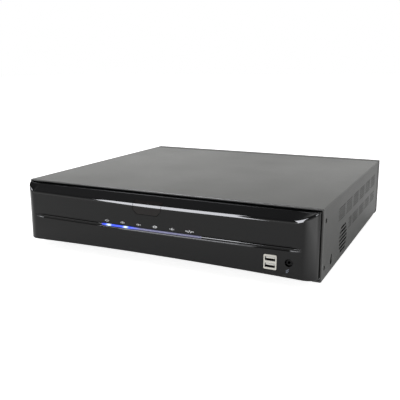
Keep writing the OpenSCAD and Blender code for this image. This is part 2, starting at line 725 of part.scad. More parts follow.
module rear_fan_guard() at_case() color([0.85, 0.85, 0.87])
    translate([rear_fan_at[0], case_d + 0.8, rear_fan_at[1]]) rotate([-90, 0, 0]) {
        for (r = [6, 13, 20, 27]) difference() {
            cylinder(h = 1.6, r = r + 0.8);
            translate([0, 0, -1]) cylinder(h = 4, r = r - 0.8);
        }
        for (a = [45 : 90 : 315]) rotate(a) {
            translate([5, -0.8, -0.6]) cube([27, 1.6, 1.2]);
            translate([25 * sqrt(2), 0, 0]) difference() {
                cylinder(h = 1.6, r = 3.8, center = true);
                cylinder(h = 3, r = 2, center = true);
            }
        }
    }

module fan_screws() at_case() color("silver") {
    for (x = [-25, 25], z = [-25, 25]) translate([rear_fan_at[0] + x, case_d + 1.7, rear_fan_at[1] + z])
        rotate([90, 0, 0]) pan_screw(1.5, 12, 3, 1.8);
    for (y = [-18, 18], z = [-18, 18])
        translate([tray_x - plate_t - side_fan_t - 0.2, side_fan_at[0] + y, side_fan_at[1] + z])
            rotate([0, 90, 0])
            pan_screw(1.2, side_fan_t + plate_t, 2.8, 1.8);
}

// ---- Power supply ----

module supply_case() at_case() color([0.75, 0.76, 0.77]) translate([supply[0], supply[1], floor_z])
    difference() {
    cube([supply[2], supply[3], supply[4]]);
    translate([1, -1, 1]) cube([supply[2] - 2, supply[3] + 2, supply[4] - 2]);
    for (i = [0 : 5], s = [0, 1]) translate([s * supply[2] - 3, 14 + i * 20, 14]) cube([6, 12, 20]);
    for (i = [0 : 5]) translate([12, 14 + i * 20, supply[4] - 3]) cube([52, 12, 6]);
}

module supply_board() at_case() color([0.4, 0.3, 0.12])
    block([supply[0] + 2, supply[0] + supply[2] - 2], [supply[1] + 4, supply[1] + supply[3] - 4],
        [8, 9.6]);

module supply_parts() at_case() translate([supply[0], supply[1], 9.6]) {
    color([0.75, 0.65, 0.2]) translate([20, 70, 0]) cube([28, 30, 24]);
    color([0.1, 0.1, 0.12]) for (p = [[58, 30], [58, 60], [20, 24]]) translate([p[0], p[1], 0])
        cylinder(h = 26, r = 9);
    color([0.7, 0.7, 0.72]) translate([38, 12, 0]) cube([3, 44, 28]);
    color([0.9, 0.9, 0.85]) translate([30, 112, 0]) cube([30, 14, 12]);
    color("silver") for (p = [[12, 12], [64, 128], [12, 128], [64, 12]])
        translate([p[0], p[1], floor_z - 8.6]) cylinder(h = 4.6, r = 2.5);
}

// ---- Drives ----

module drive_bracket() at_case() color([0.72, 0.73, 0.74]) difference() {
    union() {
        block([-194, 26], [drive_y, drive_y + 140], [drive_z - plate_t, drive_z]);
        for (x = [-194, -84.6, 24.8]) block([x, x + plate_t], [drive_y, drive_y + 140], [floor_z,
            drive_z]);
    }
    for (x = drive_x, p = drive_hole) translate([x + p[0], drive_y + p[1], floor_z])
        cylinder(h = 10, r = 1.7);
    for (x = drive_x) block([x + 25, x + 76], [drive_y + 45, drive_y + 90], [drive_z - 3, drive_z + 1]);
}

module hard_drive() difference() {
    union() {
        linear_extrude(20) translate([drive[0] / 2, drive[1] / 2]) pad_2d([drive[0], drive[1]], 3);
        translate([0, 0, 20]) linear_extrude(drive[2] - 20) translate([drive[0] / 2, drive[1] / 2 + 4])
            pad_2d([drive[0] - 3, drive[1] - 14], 8);
    }
    for (p = drive_hole) translate([p[0], p[1], -1]) cylinder(h = 5, r = 1.6);
    translate([30, drive[1] - 6, -1]) cube([50, 7, 5]);
}

module hard_drive_1() at_case() color([0.6, 0.61, 0.63]) translate([drive_x[0], drive_y, drive_z])
    hard_drive();
module hard_drive_2() at_case() color([0.6, 0.61, 0.63]) translate([drive_x[1], drive_y, drive_z])
    hard_drive();

module drive_screws() at_case() color("silver") for (x = drive_x, p = drive_hole)
    translate([x + p[0], drive_y + p[1], drive_z - plate_t]) pan_screw(1.5, 4.6, 2.8, 1.6);

// ---- Internal cables ----

// Data and power cables from the drives' rear ends to the main board
module drive_cables() at_case() color([0.7, 0.12, 0.1]) for (x = drive_x) {
    end_y = drive_y + drive[1];
    translate([0, 0, 13]) linear_extrude(6)
        strip_2d([[x + 45, end_y], [x + 45, end_y + 10], [x + 48, end_y + 18], [x + 48,
            board_front + 2]], 1.6);
    translate([0, 0, 12]) linear_extrude(5)
        strip_2d([[x + 64, end_y], [x + 64, end_y + 10], [x + 68, end_y + 18], [x + 68,
            board_front + 2]], 4);
}

// Display ribbon, front socket lead and side fan lead
module front_cables() at_case() color([0.55, 0.56, 0.58]) {
    along_x(28, 18) strip_2d([[front_board_y + 1.6, 48], [2, 48], [16, 42], [40, 24], [184, 24],
        [196, 15],
        [board_front + 2, 15]], 1.2);
    translate([0, 0, usb_board_z + 1.6]) linear_extrude(3)
        strip_2d([[165, 38], [165, 48], [150, 70], [70, 182], [47.5, 196], [47.5, board_front + 2]], 3);
    translate([0, 0, 18]) linear_extrude(3)
        strip_2d([[202.1, 113], [198, 113], [192, 122], [184, 165], [90, 190], [51.2, 214]], 2);
}

// Low-voltage harness to the main board, and the mains leads between inlet, switch and supply
module supply_harness() at_case() color([0.75, 0.6, 0.1]) {
    translate([0, 0, 14]) linear_extrude(6) strip_2d([[supply[0], 222], [104, 222], [70, 240], [49,
        240]], 5);
    for (x = [-8.4, 5.6]) along_x(inlet_at[0] + x, 2.8)
        strip_2d([[case_d - 29, inlet_at[1] - 2], [case_d - 33, inlet_at[1] - 2], [case_d - 40, 22],
            [supply[1] + 127, 18]], 2.8);
    for (x = [-5, 2]) along_x(rocker_at[0] + x, 2.6)
        strip_2d([[case_d - 14, rocker_at[1]], [case_d - 22, rocker_at[1]], [case_d - 28, 54],
            [case_d - 29, 42],
            [case_d - 40, 26], [supply[1] + 127, 18]], 2.6);
}

top_cover();
chassis_tray();
rear_panel();
front_bezel();
light_bar();
ir_window();
front_board();
status_lamps();
ir_receiver();
usb_ports();
usb_tongues();
usb_board();
front_jack();
rack_nuts();
cover_screws();
bezel_screws();
rubber_feet();
foot_screws();
main_board();
board_standoffs();
board_screws();
video_processor();
heat_sink();
memory_chips();
support_chips();
capacitors();
coin_cell();
cell_holder();
board_headers();
video_board();
bnc_shells();
bnc_insulators();
bnc_pins();
audio_jacks();
audio_inserts();
vga_port();
vga_insert();
hdmi_port();
lan_port();
terminal_block();
mains_inlet();
inlet_pins();
switch_frame();
power_rocker();
rear_fan_frame();
rear_fan_rotor();
rear_fan_guard();
side_fan_frame();
side_fan_rotor();
fan_screws();
supply_case();
supply_board();
supply_parts();
drive_bracket();
hard_drive_1();
hard_drive_2();
drive_screws();
drive_cables();
front_cables();
supply_harness();
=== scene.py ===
"""Looks of the video recorder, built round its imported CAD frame. Lengths are millimetres in case coordinates:
x = 0 at the middle, y = 0 at the cover's front hem, z = 0 at its lower edge."""
import math

import bmesh
import bpy
from mathutils import Matrix, Vector


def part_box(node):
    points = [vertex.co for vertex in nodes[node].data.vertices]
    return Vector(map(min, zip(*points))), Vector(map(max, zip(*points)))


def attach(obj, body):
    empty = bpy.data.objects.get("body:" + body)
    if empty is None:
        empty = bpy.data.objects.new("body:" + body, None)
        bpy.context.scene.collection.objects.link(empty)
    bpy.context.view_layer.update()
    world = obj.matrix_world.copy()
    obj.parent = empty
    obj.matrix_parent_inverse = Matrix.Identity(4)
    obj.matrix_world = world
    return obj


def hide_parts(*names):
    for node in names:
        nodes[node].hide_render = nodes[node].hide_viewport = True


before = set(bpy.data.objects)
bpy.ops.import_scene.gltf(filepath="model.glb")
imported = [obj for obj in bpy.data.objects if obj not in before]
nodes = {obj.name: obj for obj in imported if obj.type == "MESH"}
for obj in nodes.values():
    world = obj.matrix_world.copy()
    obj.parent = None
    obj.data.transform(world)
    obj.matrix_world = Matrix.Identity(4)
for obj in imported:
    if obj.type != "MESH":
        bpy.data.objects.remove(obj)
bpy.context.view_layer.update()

# ---- Sizes, from the CAD frame ----

cover_lo, cover_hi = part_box("top_cover")
ORIGIN = Vector((0, cover_lo.y, cover_lo.z))
TO_ROW = Matrix.Translation(ORIGIN) @ Matrix.Scale(0.001, 4)


def case_box(node):
    return [(corner - ORIGIN) * 1000 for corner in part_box(node)]


CASE_X = cover_hi.x * 1000
CASE_H = case_box("top_cover")[1].z
COVER_D = case_box("top_cover")[1].y
COVER_T, HEM_T, HEM_D, LIP_W, EDGE_R = 1.0, 2.4, 3.6, 11.0, 1.6

bezel_lo, bezel_hi = case_box("front_bezel")
BEZEL_X, BEZEL_TOP, FRONT_Y = bezel_hi.x, bezel_hi.z, bezel_lo.y
BOW, WALL = 5.0, 2.5
SEAT_Y = 4.0                            # where the moulding ends, just inside the cover's mouth
CORNER_W, CORNER_D = 18.0, 15.0         # half axes of the corners in plan
NOSE_R, NOSE_Z = 5.2, 74.8
RISE_LEFT, RISE_RIGHT = 199.0, 185.0    # where the nose starts to climb to the hem
GROOVE_END, GROOVE_FADE = 198.0, 18.0
BOW_R = (BEZEL_X ** 2 + BOW ** 2) / (2 * BOW)
SLOPE = math.atan2(BEZEL_TOP - NOSE_Z, -FRONT_Y - 0.4)
BAR_X, BAR_Z, BAR_W = -5.3, 41.7, 148.0
DISPLAY_X, LAMP_PITCH = -8.3, 24.6
ARCH_TOP, ARCH, ARCH_HALF = 9.4, 4.2, 195.0
ARCH_R = (ARCH_HALF ** 2 + ARCH ** 2) / (2 * ARCH)
WINDOW_W = 42.4
USB = (157.8, 23.1)
JACK = (180.2, 24.6)


def front_y(x):
    """Front of the bowed face at x, away from the corners."""
    return FRONT_Y + x * x / (2 * BOW_R)


# ---- Materials ----


def node(tree, kind, **values):
    n = tree.nodes.new(kind)
    for key, value in values.items():
        if hasattr(n, key):
            setattr(n, key, value)
        else:
            n.inputs[key.replace("_", " ")].default_value = value
    return n


def mapped(tree, source, low, high, start=0.3, end=0.7):
    n = node(tree, "ShaderNodeMapRange")
    for i, value in enumerate((start, end, low, high), 1):
        n.inputs[i].default_value = value
    tree.links.new(source, n.inputs[0])
    return n.outputs[0]


def finish(name, dark, light, rough, scale=60.0, metallic=0.0, bump=0.0, bump_scale=900.0, stretch=(1, 1, 1),
           specular=0.5, cloud=None):
    """A finish whose colour and roughness wander between two values, with fine grain in its bump."""
    m = bpy.data.materials.new(name)
    m.use_nodes = True
    tree = m.node_tree
    shader = tree.nodes["Principled BSDF"]
    where = node(tree, "ShaderNodeTexCoord")
    mapping = node(tree, "ShaderNodeMapping")
    mapping.inputs["Scale"].default_value = stretch
    tree.links.new(where.outputs["Object"], mapping.inputs["Vector"])
    spot = node(tree, "ShaderNodeTexNoise", Scale=scale, Detail=6.0, Roughness=0.6)
    tree.links.new(mapping.outputs[0], spot.inputs["Vector"])
    mix = node(tree, "ShaderNodeMix", data_type="RGBA")
    sockets = [s for s in mix.inputs if s.type == "RGBA"]
    sockets[0].default_value, sockets[1].default_value = (*dark, 1), (*light, 1)
    tree.links.new(mapped(tree, spot.outputs[0], 0, 1), mix.inputs[0])
    tree.links.new([s for s in mix.outputs if s.type == "RGBA"][0], shader.inputs["Base Color"])
    wide = node(tree, "ShaderNodeTexNoise", Scale=cloud or scale * 0.3, Detail=4.0)
    tree.links.new(mapping.outputs[0], wide.inputs["Vector"])
    tree.links.new(mapped(tree, wide.outputs[0], *rough), shader.inputs["Roughness"])
    shader.inputs["Metallic"].default_value = metallic
    shader.inputs["Specular IOR Level"].default_value = specular
    if bump:
        grain = node(tree, "ShaderNodeTexNoise", Scale=bump_scale, Detail=3.0)
        tree.links.new(mapping.outputs[0], grain.inputs["Vector"])
        b = node(tree, "ShaderNodeBump", Strength=bump, Distance=0.0004)
        tree.links.new(grain.outputs[0], b.inputs["Height"])
        tree.links.new(b.outputs[0], shader.inputs["Normal"])
    return m


def scaled(colour, k):
    return tuple(c * k for c in colour)


def plain(name, colour, rough, spread=0.12, **more):
    return finish(name, scaled(colour, 1 - spread), scaled(colour, 1 + spread), rough, **more)


MATERIALS = {
    "cover_paint": finish("cover_paint", (0.030, 0.031, 0.028), (0.036, 0.037, 0.033), (0.30, 0.36),
                          scale=500, bump=0.16, bump_scale=2600, cloud=7),
    # The hem's paint is the cover's paint made about twice as light: a painted highlight for the light its
    # rounded front edge catches.
    "cover_edge_painted_highlight": finish("cover_edge_painted_highlight", (0.062, 0.062, 0.060), (0.075, 0.075, 0.072), (0.26, 0.34), scale=500,
                         bump=0.1, bump_scale=2600, cloud=7),
    "zinc_steel": finish("zinc_steel", (0.50, 0.51, 0.52), (0.64, 0.65, 0.66), (0.28, 0.42), scale=90,
                         metallic=1, stretch=(1, 6, 1), bump=0.05),
    "panel_paint": plain("panel_paint", (0.018, 0.018, 0.018), (0.38, 0.48), bump=0.2, bump_scale=2200,
                         scale=300),
    "bezel_gloss": finish("bezel_gloss", (0.0020, 0.0021, 0.0023), (0.0028, 0.0029, 0.0031),
                          (0.035, 0.055), scale=35, bump=0.012, bump_scale=30, cloud=9),
    "tinted_window": plain("tinted_window", (0.008, 0.005, 0.0045), (0.03, 0.06), scale=50, bump=0.01,
                           bump_scale=60),
    "circuit_board": plain("circuit_board", (0.012, 0.085, 0.035), (0.30, 0.45), spread=0.3, scale=180,
                           bump=0.15),
    "dark_resin": plain("dark_resin", (0.022, 0.022, 0.024), (0.45, 0.6), bump=0.2),
    "socket_plate": plain("socket_plate", (0.80, 0.78, 0.71), (0.26, 0.36), spread=0.05, metallic=0.35,
                          bump=0.05),
    "tongue_white": plain("tongue_white", (0.80, 0.80, 0.77), (0.3, 0.4), spread=0.04, bump=0.05),
    "black_plastic": plain("black_plastic", (0.014, 0.014, 0.015), (0.36, 0.5), bump=0.25, bump_scale=1800),
    # The jack's finish is darker than the black plastic and barely glossy: painted shade, so the round jack
    # reads as a plain dark hole.
    "jack_black_painted_shade": plain("jack_black_painted_shade", (0.003, 0.003, 0.003), (0.4, 0.5), specular=0.2, bump=0.1),
    "screw_black": plain("screw_black", (0.03, 0.03, 0.032), (0.32, 0.45), metallic=0.6, bump=0.1),
    "foot_rubber": plain("foot_rubber", (0.016, 0.016, 0.016), (0.7, 0.85), bump=0.4, bump_scale=1500),
    "brass_parts": plain("brass_parts", (0.72, 0.52, 0.22), (0.22, 0.34), metallic=1, bump=0.05, scale=150),
    "heat_sink_metal": plain("heat_sink_metal", (0.62, 0.63, 0.65), (0.3, 0.42), metallic=1,
                             stretch=(1, 8, 1), bump=0.1),
    "capacitor_sleeve": plain("capacitor_sleeve", (0.02, 0.03, 0.08), (0.25, 0.35), bump=0.05),
    "cell_steel": plain("cell_steel", (0.70, 0.71, 0.72), (0.16, 0.26), metallic=1, spread=0.06, bump=0.03),
    "header_plastic": plain("header_plastic", (0.70, 0.67, 0.56), (0.4, 0.5), bump=0.1),
    "nickel_shell": plain("nickel_shell", (0.66, 0.65, 0.63), (0.16, 0.3), metallic=1, spread=0.08,
                          scale=140, bump=0.04),
    "gold_contact": plain("gold_contact", (0.85, 0.60, 0.22), (0.18, 0.28), metallic=1, bump=0.03),
    "insert_red": plain("insert_red", (0.50, 0.03, 0.025), (0.3, 0.42), bump=0.05),
    "insert_blue": plain("insert_blue", (0.02, 0.06, 0.34), (0.3, 0.42), bump=0.05),
    "terminal_green": plain("terminal_green", (0.03, 0.27, 0.09), (0.36, 0.48), bump=0.1),
    "chrome_wire": plain("chrome_wire", (0.72, 0.72, 0.74), (0.12, 0.22), metallic=1, spread=0.06,
                         scale=120, bump=0.03),
    "supply_board_brown": plain("supply_board_brown", (0.24, 0.14, 0.05), (0.4, 0.5), spread=0.25, bump=0.1),
    "supply_mixed": plain("supply_mixed", (0.40, 0.33, 0.12), (0.4, 0.55), spread=0.3, bump=0.15),
    "drive_alloy": plain("drive_alloy", (0.50, 0.51, 0.53), (0.36, 0.5), metallic=1, bump=0.2, scale=220),
    "cable_red": plain("cable_red", (0.45, 0.04, 0.03), (0.4, 0.5), bump=0.1),
    "cable_grey": plain("cable_grey", (0.36, 0.37, 0.39), (0.45, 0.55), bump=0.1),
    "cable_yellow": plain("cable_yellow", (0.58, 0.40, 0.05), (0.42, 0.52), bump=0.1),
    "print_pale": plain("print_pale", (0.72, 0.73, 0.75), (0.45, 0.55), spread=0.08, scale=800, bump=0.05),
    "print_grey": plain("print_grey", (0.45, 0.50, 0.64), (0.4, 0.5), spread=0.08, scale=800, bump=0.05),
    "floor_paper": plain("floor_paper", (0.92, 0.92, 0.92), (0.85, 0.95), spread=0.004, specular=0.0,
                         scale=3, bump=0.02),
}


def lit(name, base, stops, strength, x0, x1):
    """A plastic whose glow follows stops of (place 0-1, colour) from x0 to x1: lamp light, and in the light
    guide's lilac stops a painted highlight.
    """
    m = plain(name, base, (0.2, 0.3), scale=200, bump=0.03, specular=0.12)
    tree = m.node_tree
    shader = tree.nodes["Principled BSDF"]
    where = node(tree, "ShaderNodeTexCoord")
    split = node(tree, "ShaderNodeSeparateXYZ")
    tree.links.new(where.outputs["Object"], split.inputs[0])
    along = mapped(tree, split.outputs[0], 0, 1, x0 / 1000, x1 / 1000)
    ramp = node(tree, "ShaderNodeValToRGB")
    while len(ramp.color_ramp.elements) < len(stops):
        ramp.color_ramp.elements.new(0.5)
    for element, (place, colour) in zip(ramp.color_ramp.elements, stops):
        element.position = place
        element.color = (*colour, 1)
    tree.links.new(along, ramp.inputs[0])
    tree.links.new(ramp.outputs[0], shader.inputs["Emission Color"])
    shader.inputs["Emission Strength"].default_value = strength
    return m


bar_lo, bar_hi = BAR_X - BAR_W / 2, BAR_X + BAR_W / 2


def on_bar(x):
    return (x - bar_lo) / (bar_hi - bar_lo)


# The blue and the two hot spots are the lit lamps' own glow. The lilac glow over the unlit rest of the bar,
# from x -18 to its end, is a painted highlight: the softbox's reflection along the groove's ledge.
BLUE, DEEP, HOT, PAINTED_LILAC_SHEEN = (0.03, 0.09, 0.95), (0.01, 0.025, 0.45), (0.75, 0.92, 1.0), (0.10, 0.10, 0.18)
MATERIALS["light_guide"] = lit("light_guide", (0.10, 0.10, 0.15), [
    (on_bar(-78), DEEP), (on_bar(-73), BLUE), (on_bar(-67.6), HOT), (on_bar(-63.2), BLUE),
    (on_bar(-53.5), (0.015, 0.05, 0.7)), (on_bar(-46), BLUE), (on_bar(-41.6), HOT),
    (on_bar(-36.5), BLUE), (on_bar(-28), (0.07, 0.09, 0.50)),
    (on_bar(-18), PAINTED_LILAC_SHEEN), (on_bar(66), (0.08, 0.08, 0.13))], 1.5, bar_lo, bar_hi)
LAMP_ON, LAMP_OFF = (0.25, 0.4, 1.0), (0.02, 0.03, 0.06)
MATERIALS["lamp_blue"] = lit("lamp_blue", (0.3, 0.45, 1.0), [
    (0.0, LAMP_ON), (0.42, LAMP_ON), (0.5, LAMP_OFF), (1.0, LAMP_OFF)], 2.0, bar_lo, bar_hi)

# ---- Mesh helpers ----


def dress(mesh, angle=32):
    for p in mesh.polygons:
        p.use_smooth = True
    mesh.set_sharp_from_angle(angle=math.radians(angle))


def piece(name, mesh, material, body="recorder", angle=32, replaces=()):
    """A finished piece from a mesh in case millimetres."""
    mesh.transform(TO_ROW)
    mesh.materials.clear()
    mesh.materials.append(MATERIALS[material])
    dress(mesh, angle)
    o = bpy.data.objects.new(name, mesh)
    bpy.context.scene.collection.objects.link(o)
    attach(o, body)
    if replaces:
        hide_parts(*replaces)


def mesh_of(name, points, faces):
    mesh = bpy.data.meshes.new(name)
    mesh.from_pydata(points, [], faces)
    return cleaned(mesh)


def cleaned(mesh, merge=0.0005):
    b = bmesh.new()
    b.from_mesh(mesh)
    bmesh.ops.remove_doubles(b, verts=b.verts, dist=merge)
    bmesh.ops.dissolve_degenerate(b, edges=b.edges, dist=merge / 2)
    bmesh.ops.recalc_face_normals(b, faces=b.faces)
    b.to_mesh(mesh)
    b.free()
    return mesh


def grid(name, rows):
    """A closed body from rows of points, each row a closed loop, with its first and last row capped."""
    count = len(rows[0])
    points = [p for row in rows for p in row]
    faces = []
    for i in range(len(rows) - 1):
        a, b = i * count, (i + 1) * count
        faces += [(a + j, a + (j + 1) % count, b + (j + 1) % count, b + j) for j in range(count)]
    faces += [tuple(range(count))[::-1], tuple(range((len(rows) - 1) * count, len(rows) * count))]
    return mesh_of(name, points, faces)


def joined(name, meshes):
    b = bmesh.new()
    for mesh in meshes:
        b.from_mesh(mesh)
        bpy.data.meshes.remove(mesh)
    mesh = bpy.data.meshes.new(name)
    b.to_mesh(mesh)
    b.free()
    return mesh


def loop_curve(name, loops, half, place):
    """A flat sheet with holes: loops of 2-D points, thickened by half each way, then put where place says."""
    curve = bpy.data.curves.new(name, "CURVE")
    curve.dimensions = "2D"
    curve.fill_mode = "BOTH"
    curve.extrude = half
    for loop in loops:
        s = curve.splines.new("POLY")
        s.points.add(len(loop) - 1)
        for point, (a, b) in zip(s.points, loop):
            point.co = (a, b, 0, 1)
        s.use_cyclic_u = True
    o = bpy.data.objects.new(name, curve)
    bpy.context.scene.collection.objects.link(o)
    bpy.context.view_layer.update()
    mesh = bpy.data.meshes.new_from_object(o.evaluated_get(bpy.context.evaluated_depsgraph_get()))
    bpy.data.objects.remove(o)
    bpy.data.curves.remove(curve)
    for v in mesh.vertices:
        v.co = place(*v.co)
    return cleaned(mesh)


def around(r, degrees):
    """Points on a circle as (r cos, r sin)."""
    return [(r * math.cos(math.radians(a)), r * math.sin(math.radians(a))) for a in degrees]


def ring_2d(at, r, count=24, start=0.0):
    angles = [start + math.tau * i / count for i in range(count)]
    return [(at[0] + r * math.cos(a), at[1] + r * math.sin(a)) for a in angles]


def rect_2d(at, w, h, r=0.0, count=5):
    """A rectangle about a point, with round corners."""
    if not r:
        return [(at[0] + sx * w / 2, at[1] + sz * h / 2) for sx, sz in ((-1, -1), (1, -1), (1, 1), (-1, 1))]
    points = []
    for k, (sx, sz) in enumerate(((1, 1), (-1, 1), (-1, -1), (1, -1))):
        x, z = at[0] + sx * (w / 2 - r), at[1] + sz * (h / 2 - r)
        for i in range(count + 1):
            a = math.pi / 2 * (k + i / count)
            points.append((x + r * math.cos(a), z + r * math.sin(a)))
    return points


def slot_2d(at, w, h):
    return rect_2d(at, w, h, h / 2 - 0.01, 6)


def solid_object(name, mesh):
    o = bpy.data.objects.new(name, mesh)
    bpy.context.scene.collection.objects.link(o)
    return o


def boolean(mesh, cutters, operation="DIFFERENCE"):
    """The mesh after exact booleans with each cutter mesh."""
    o = solid_object("work", mesh)
    made = []
    for c in cutters:
        cutter = solid_object("cutter", c)
        made.append(cutter)
        m = o.modifiers.new("cut", "BOOLEAN")
        m.operation = operation
        m.solver = "EXACT"
        m.object = cutter
    bpy.context.view_layer.update()
    result = bpy.data.meshes.new_from_object(o.evaluated_get(bpy.context.evaluated_depsgraph_get()))
    for x in [o, *made]:
        bpy.data.objects.remove(x)
    return result


def prism(loop, y0, y1):
    """A loop of (x, z) points run from y0 to y1."""
    return grid("prism", [[(a, y, b) for a, b in loop] for y in (y0, y1)])


# ---- Cover: hem, sheet with bends, perforated sides ----


def arc(cx, cz, r, a0, a1, count=7):
    return [(cx + r * math.cos(math.radians(a0 + (a1 - a0) * i / count)),
             cz + r * math.sin(math.radians(a0 + (a1 - a0) * i / count))) for i in range(count + 1)]


def outline(inset):
    """The cover's C outline seen from the front, from its right lip over the top to its left lip."""
    r = max(EDGE_R - inset, 0.25)
    x, top = CASE_X - inset, CASE_H - inset
    right = [(CASE_X - LIP_W, inset)] + arc(x - r, inset + r, r, -90, 0) + arc(x - r, top - r, r, 0, 90)
    return right + [(-a, b) for a, b in reversed(right)]


def strip(first, last, y0, y1):
    """The cover sheet from point first to point last of the outline, run from y0 to y1."""
    outer, inner = outline(0)[first:last + 1], outline(COVER_T)[first:last + 1]
    return prism(outer + inner[::-1], y0, y1)


def hem():
    """The folded front edge, round at its two front corners."""
    r = 0.75
    bend = [(r - r * math.cos(a), r - r * math.sin(a)) for a in (0.4, 0.8, 1.2)]
    section = [(0, HEM_D), (0, r)] + bend + [(r, 0), (HEM_T - r, 0)]
    section += [(HEM_T - r + r * math.sin(a), r - r * math.cos(a)) for a in (0.4, 0.8, 1.2)]
    section += [(HEM_T, r), (HEM_T, HEM_D)]
    lines = [[(p[0], y, p[1]) for p in outline(inset)] for inset, y in section]
    return grid("hem", [list(ring) for ring in zip(*lines)])


def perforation(y, z, w, h, r=1.05, pitch=3.5):
    """A staggered field of round holes in a vent patch."""
    step = pitch * 0.866
    rows = int((h - 2 * r) / step)
    loops = []
    for j in range(rows + 1):
        shift = pitch / 2 * (j % 2)
        count = int((w - 2 * r - shift) / pitch)
        for i in range(count + 1):
            at = (y + r + shift + i * pitch, z + (h - rows * step) / 2 + j * step)
            loops.append(ring_2d(at, r, 8, math.pi / 8))
    return loops


VENT_Y, VENT_PITCH, VENT_W, VENT_ROWS = 78.8, 44.7, 37.0, ((28.9, 17.0), (54.2, 17.5))
FAN_AT, FAN_R, SLOT_PITCH, SLOT_H = (108.7, 25.9), 22.5, 5.3, 3.0
EAR_Y, EAR_Z, EAR_R = 12.0, (14.8, 72.6), 3.0
KEYHOLE, KEYHOLE_R, KEYHOLE_TOP_R = (44.6, 12.8), 4, 2.6
VENT_COLUMNS, LOWER_ROW = 6, 40


def keyhole_loop():
    """A round hole for a stud's head, running into a narrower hole above it."""
    y, z = KEYHOLE
    low = [(y + a, z + b) for a, b in around(KEYHOLE_R, range(128, 413, 15))]
    return low + [(y + 1.8 + a, z + 6.8 + b) for a, b in around(KEYHOLE_TOP_R, range(-20, 201, 20))]


def side(sign):
    """One side of the cover with its holes."""
    y0, y1, z0, z1 = HEM_D, COVER_D, EDGE_R, CASE_H - EDGE_R
    loops = [[(y0, z0), (y1, z0), (y1, z1), (y0, z1)]]
    right = sign > 0
    for k in range(VENT_COLUMNS):
        for z, h in VENT_ROWS:
            lower = z < LOWER_ROW
            if lower and (not right or k == 0):
                continue
            y, w = VENT_Y + k * VENT_PITCH, VENT_W
            if lower and k == 1:
                y, w = y + w / 2, w / 2
            loops += perforation(y, z, w, h)
    if right:
        for i in range(-3, 4):
            reach = math.sqrt(FAN_R ** 2 - (abs(i) * SLOT_PITCH + SLOT_H / 2) ** 2)
            loops.append(slot_2d((FAN_AT[0], FAN_AT[1] + i * SLOT_PITCH), 2 * reach, SLOT_H))
    for z in EAR_Z:
        loops.append(ring_2d((EAR_Y, z), EAR_R, 28))
    loops.append(keyhole_loop())
    middle = CASE_X - COVER_T / 2
    return loop_curve("side", loops, COVER_T / 2, lambda a, b, c: (sign * (middle + c), a, b))


last = len(outline(0)) - 1
BEND_POINTS = 8
# The hem wears the lighter paint, a painted highlight along the cover's front edge.
piece("cover_hem", hem(), "cover_edge_painted_highlight")
cover = joined("cover", [
    strip(0, BEND_POINTS, HEM_D, COVER_D), strip(BEND_POINTS + 1, last - BEND_POINTS - 1, HEM_D, COVER_D),
    strip(last - BEND_POINTS, last, HEM_D, COVER_D), side(1), side(-1)])
piece("cover_shell", cover, "cover_paint", replaces=["top_cover"])

# ---- Front moulding ----


CORNER_STEPS, FACE_STEPS = 26, 104


def corner(inset, t):
    """Point and inward direction on the right corner, t from 0 at the face to 1 at the side."""
    u, v = math.sin(t * math.pi / 2), math.cos(t * math.pi / 2)
    n = math.hypot(u / CORNER_W, v / CORNER_D)
    nx, ny = -u / CORNER_W / n, v / CORNER_D / n
    x, y = BEZEL_X - CORNER_W, front_y(BEZEL_X - CORNER_W) + CORNER_D
    return x + CORNER_W * u + inset * nx, y - CORNER_D * v + inset * ny, nx, ny


def stations(inset):
    """Plan of the moulding: points with their inward direction, from the left corner to the right one."""
    right = [corner(inset, (i + 1) / CORNER_STEPS) for i in range(CORNER_STEPS)]
    right.append((BEZEL_X - inset, SEAT_Y - 1, -1.0, 0.0))
    end = BEZEL_X - CORNER_W
    along = [-end + 2 * end * i / FACE_STEPS for i in range(FACE_STEPS + 1)]
    left = [(-x, y, -nx, ny) for x, y, nx, ny in reversed(right)]
    return left + [(x, front_y(x) + inset, 0.0, 1.0) for x in along] + right


def smooth_step(t):
    t = min(max(t, 0.0), 1.0)
    return t * t * (3 - 2 * t)


def edge_z(x):
    """Height of the edge between face and sloping band, which climbs to the hem at both ends."""
    start = RISE_RIGHT if x > 0 else RISE_LEFT
    climb = max((abs(x) - start) / (BEZEL_X - start), 0.0) ** 1.35
    return NOSE_Z + (BEZEL_TOP - NOSE_Z) * climb


def band(x, y, z):
    """Points of the sloping band from (x, y, z) back to the hem."""
    steps = 9
    return [(x, y + (SEAT_Y - y) * i / steps, z + (BEZEL_TOP - z) * i / steps) for i in range(1, steps + 1)]


# The groove's section as (depth, height over the bar's middle): sharp lower lip, rounded ledge, upper lip
LEDGE_R, GROOVE_TOP = 1.3, 3.3
GROOVE = [(0, -3.3), (0.03, -3.14), (0.12, -3.08), (2.5, -3.05), (2.6, -2.9), (2.6, -1.5), (2.1, -LEDGE_R)]
GROOVE += [(2.1 - c, d) for c, d in around(LEDGE_R, range(-75, 76, 15))]
GROOVE += [(2.1, 1.34), (2.5, 1.5), (2.5, 2.7), (2.3, 2.85), (0.6, 2.95), (0.2, 3.05), (0, GROOVE_TOP)]
FOOT_R = 1.5
NOSE_STEPS = 12
SHARP_LEFT, SHARP_RIGHT = 0.12, 0.5     # how much of the nose's radius is left at each end


